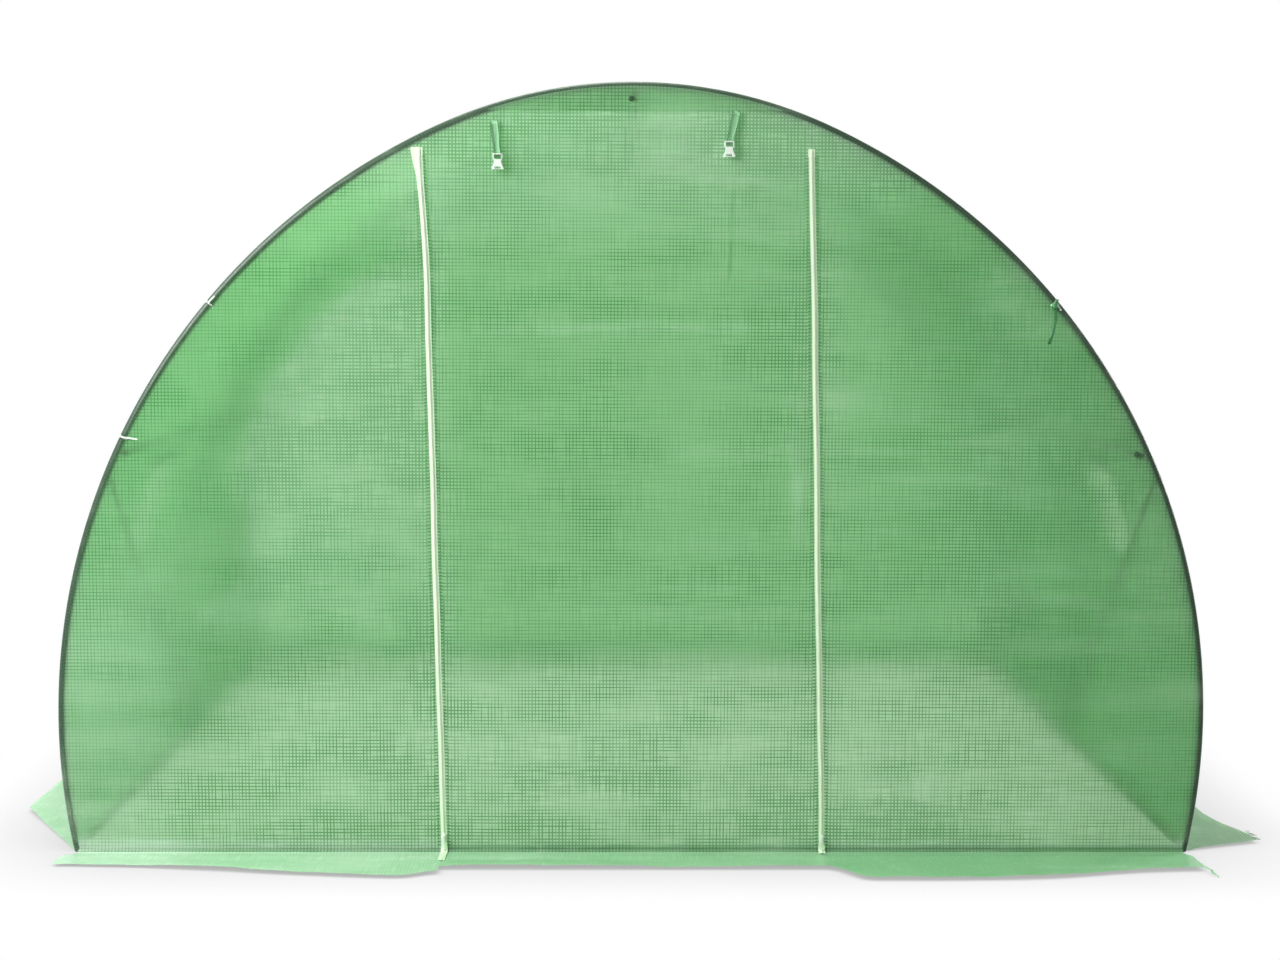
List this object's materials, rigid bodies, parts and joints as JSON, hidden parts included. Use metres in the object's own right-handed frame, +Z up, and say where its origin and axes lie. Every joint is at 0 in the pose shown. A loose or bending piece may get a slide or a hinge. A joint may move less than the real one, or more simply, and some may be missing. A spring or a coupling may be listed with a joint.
{
  "type": "polytunnel greenhouse",
  "caption": "Walk-in polytunnel greenhouse: arched tube hoops under translucent green mesh film, with a zipped roll-up door, net windows in the side walls and skirts on the ground.",
  "frame": {"origin": "on the ground, at the middle of the tunnel's footprint with its skirts", "axes": "+Z up, +Y along the tunnel from the door to the back wall, +X to the right when facing the door"},
  "size_m": [3.3304, 3.4, 1.9998],
  "materials": {
    "frame_tube": "satin",
    "film": "translucent reinforced film",
    "hem_film": "doubled film",
    "skirt_film": "translucent reinforced film",
    "flap_film": "rolled film",
    "net": "insect mesh",
    "zip": "woven tape",
    "webbing": "woven strap",
    "buckle": "moulded"
  },
  "bodies": {
    "root": {"front_hoop_legs": "frame_tube", "front_hoop_sides": "frame_tube", "front_hoop_crown": "frame_tube", "middle_hoop_legs": "frame_tube", "middle_hoop_sides": "frame_tube", "middle_hoop_crown": "frame_tube", "back_hoop_legs": "frame_tube", "back_hoop_sides": "frame_tube", "back_hoop_crown": "frame_tube", "front_purlins": "frame_tube", "back_purlins": "frame_tube", "front_base_rail": "frame_tube", "back_base_rail": "frame_tube", "side_base_rails": "frame_tube", "front_braces": "frame_tube", "back_braces": "frame_tube", "left_lower_cover": "film", "right_lower_cover": "film", "left_window_cover": "film", "right_window_cover": "film", "roof_cover": "film", "front_wall_left": "film", "front_wall_right": "film", "front_door": "film", "back_wall": "film", "front_hem": "hem_film", "back_hem": "hem_film", "front_skirt_left": "skirt_film", "front_skirt_right": "skirt_film", "door_skirt": "skirt_film", "left_skirt": "skirt_film", "right_skirt": "skirt_film", "back_skirt": "skirt_film", "left_window_nets": "net", "right_window_nets": "net", "left_window_flaps": "flap_film", "right_window_flaps": "flap_film", "left_zip": "zip", "right_zip": "zip", "door_straps": "webbing", "door_buckles": "buckle"}
  },
  "joints": []
}
